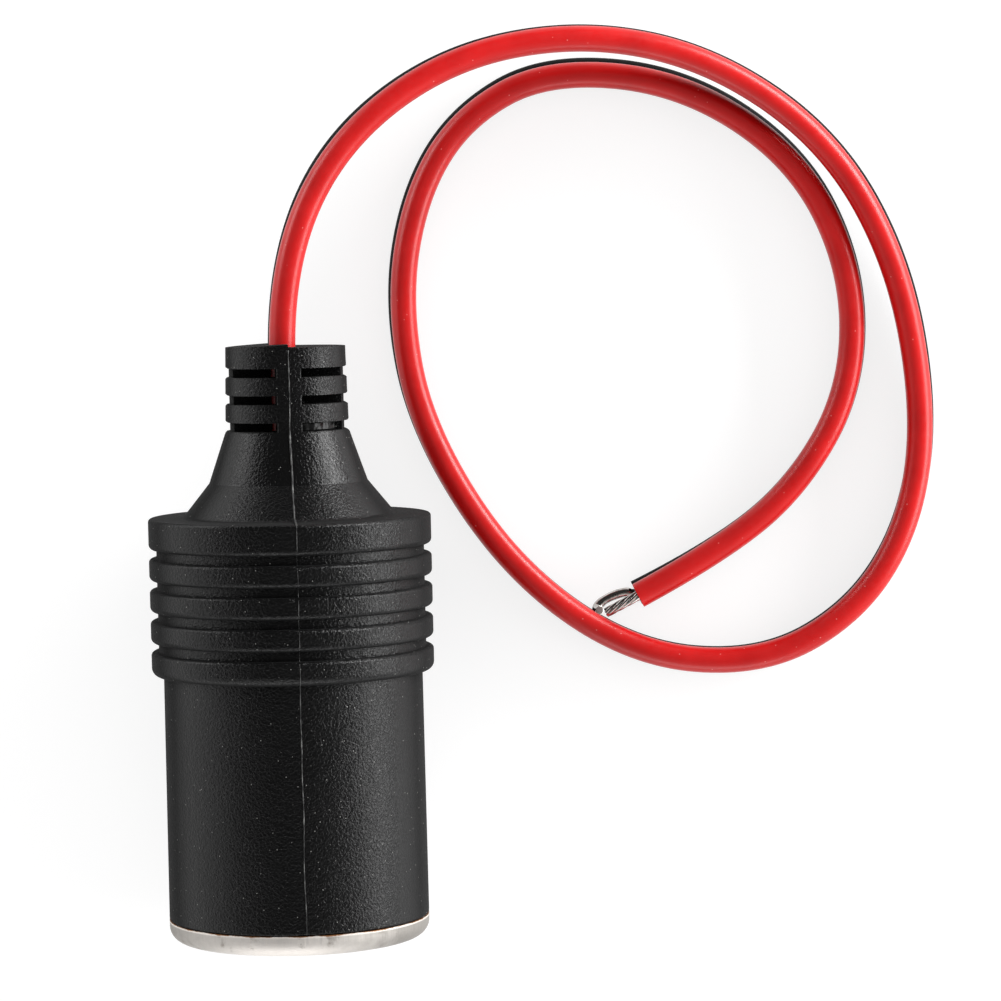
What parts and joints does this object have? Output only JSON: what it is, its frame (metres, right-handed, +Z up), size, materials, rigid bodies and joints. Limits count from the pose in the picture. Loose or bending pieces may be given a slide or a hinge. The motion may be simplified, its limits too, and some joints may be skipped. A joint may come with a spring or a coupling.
{
  "type": "car 12 volt power socket",
  "caption": "In-line female 12 volt car socket with a ribbed black housing, plated barrel, slotted strain relief and a coiled bare-ended twin lead.",
  "frame": {"origin": "centre of the bore where its straight wall starts, just inside the rolled rim", "axes": "+Y along the socket towards the lead, level with the surface it lies on; +Z up; the bore's axis dips 2.4 degrees to the mouth"},
  "size_m": [0.0852, 0.0975, 0.0306],
  "materials": {
    "black_plastic": "fine eroded mould grain",
    "nickel_plate": "satin, a little stained",
    "insulator": "pressed fibre",
    "contact_brass": "bright stamped",
    "tinned_copper": "dipped tin",
    "red_insulation": "satin extruded",
    "black_insulation": "satin extruded"
  },
  "bodies": {
    "root": {"housing": "black_plastic", "socket_barrel": "nickel_plate", "front_insulator": "insulator", "rear_insulator": "insulator", "centre_contact": "contact_brass", "positive_tag": "contact_brass", "negative_tag": "contact_brass", "negative_rivet": "nickel_plate", "positive_solder": "tinned_copper", "negative_solder": "tinned_copper", "red_core": "tinned_copper", "black_core": "tinned_copper", "red_wire_tail": "red_insulation", "black_wire_tail": "black_insulation", "red_wire": "red_insulation", "black_wire": "black_insulation", "red_bare_end": "tinned_copper", "black_bare_end": "tinned_copper"}
  },
  "joints": []
}
